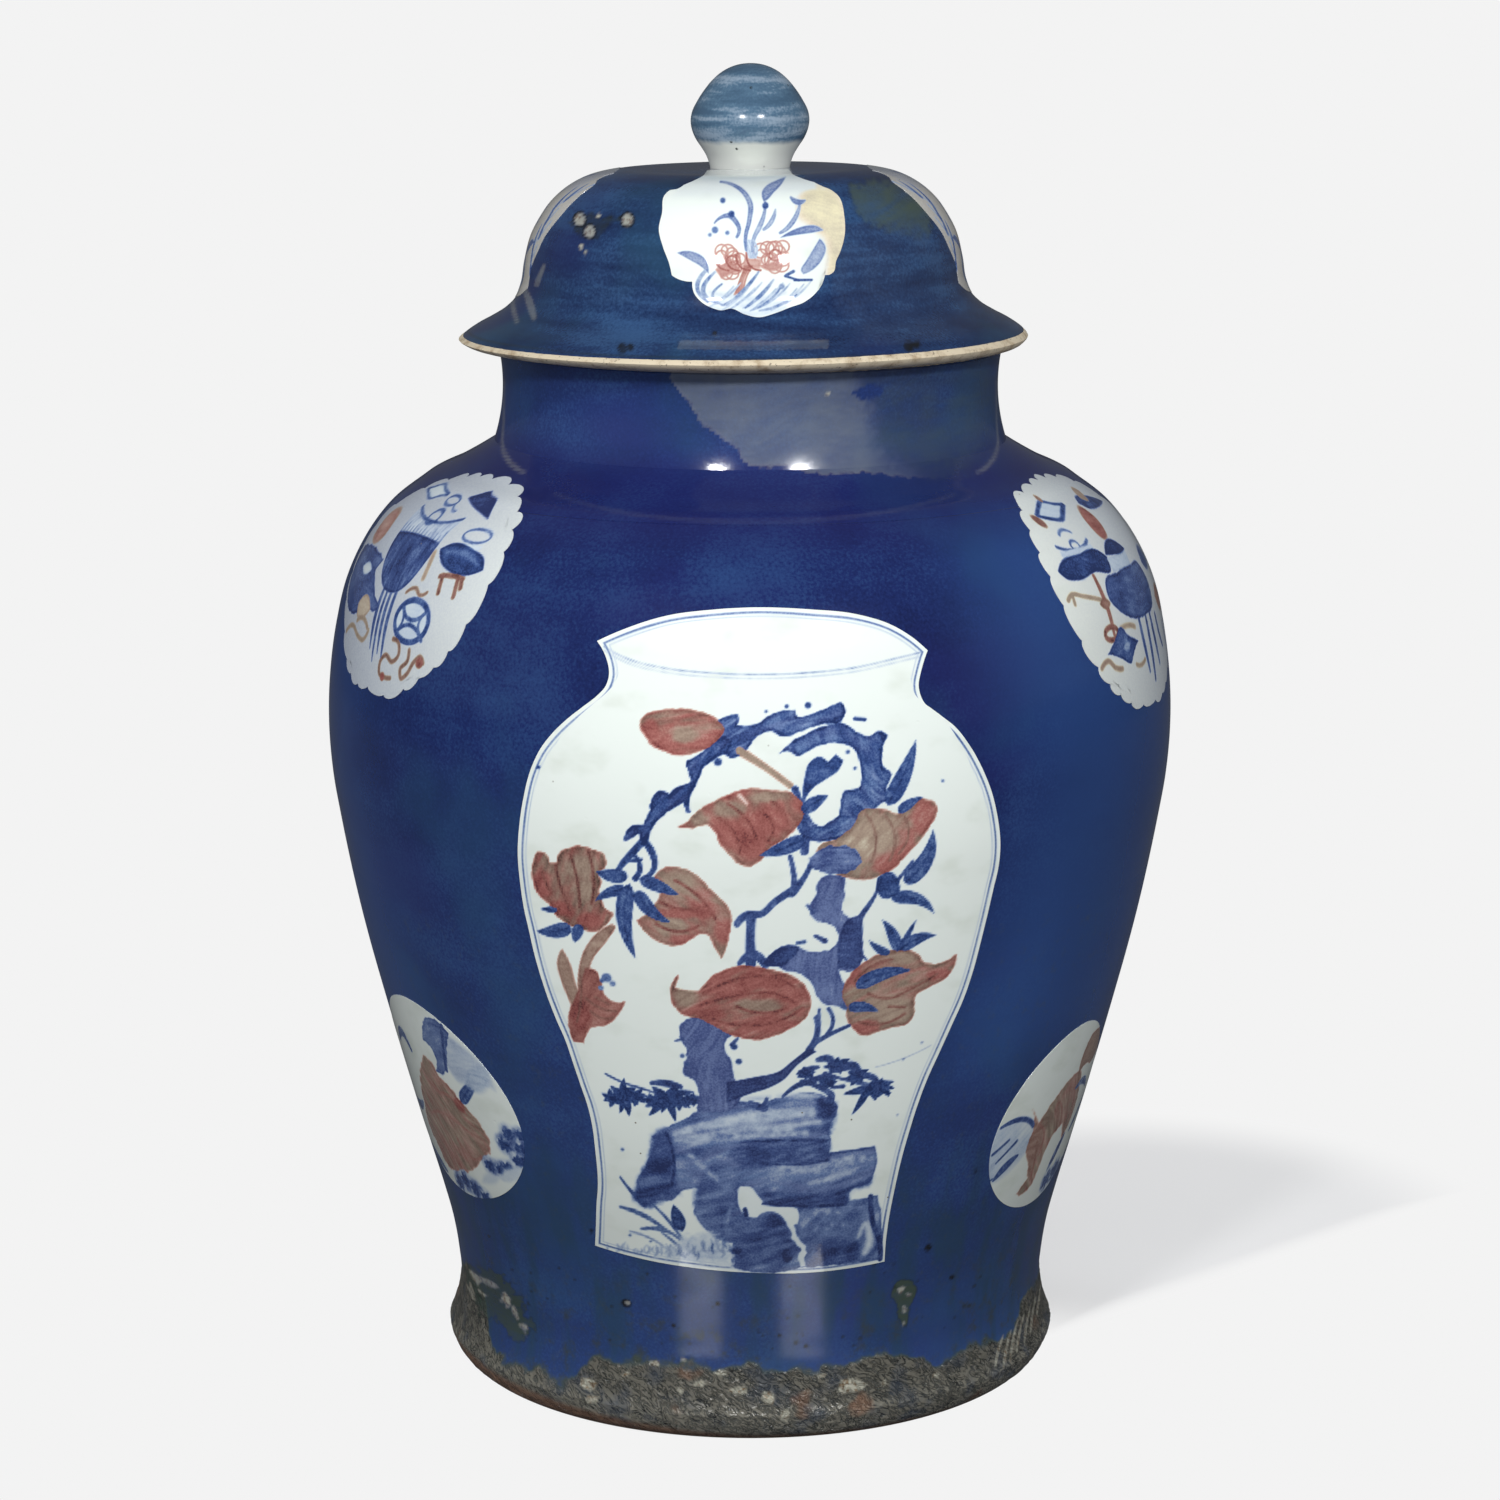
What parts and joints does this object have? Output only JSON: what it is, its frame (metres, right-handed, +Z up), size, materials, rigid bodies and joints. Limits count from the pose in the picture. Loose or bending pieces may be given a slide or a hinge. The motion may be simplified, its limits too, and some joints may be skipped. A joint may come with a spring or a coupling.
{
  "type": "lidded baluster jar",
  "caption": "Tall porcelain baluster jar with a flared foot, high shoulder and short neck, under a loose domed cover with an everted brim and a bud-shaped finial.",
  "frame": {"origin": "on the table, at the middle of the foot ring", "axes": "+Z up along the jar's axis; -Y is the front with the middle painted panel; +X is the right-hand side seen from the front"},
  "size_m": [0.3878, 0.3878, 0.6],
  "materials": {
    "powder_blue_glaze": "cobalt blown on as powder under a clear glossy glaze, with white panels reserved and painted in cobalt and copper red",
    "blistered_foot_glaze": "cobalt glaze that crawled and blistered to olive brown along the lowest edge, over a bare foot ring",
    "pale_blue_glaze": "thin pale cobalt wash under a clear glossy glaze, with dark iron specks",
    "painted_panel_glaze": "bluish white reserve under a clear glossy glaze, painted in underglaze cobalt and copper red",
    "bare_porcelain": "unglazed fired porcelain, matt"
  },
  "bodies": {
    "jar": {"foot_section": "blistered_foot_glaze", "lower_body": "powder_blue_glaze", "upper_body": "powder_blue_glaze", "neck": "powder_blue_glaze"},
    "cover": {"cover_dome": "powder_blue_glaze", "cover_flange": "bare_porcelain", "finial": "pale_blue_glaze"}
  },
  "joints": [
    {"name": "cover_lift", "type": "slide", "parent": "jar", "child": "cover", "axis": [0, 0, 1], "range_m": [0, 0.15]}
  ]
}
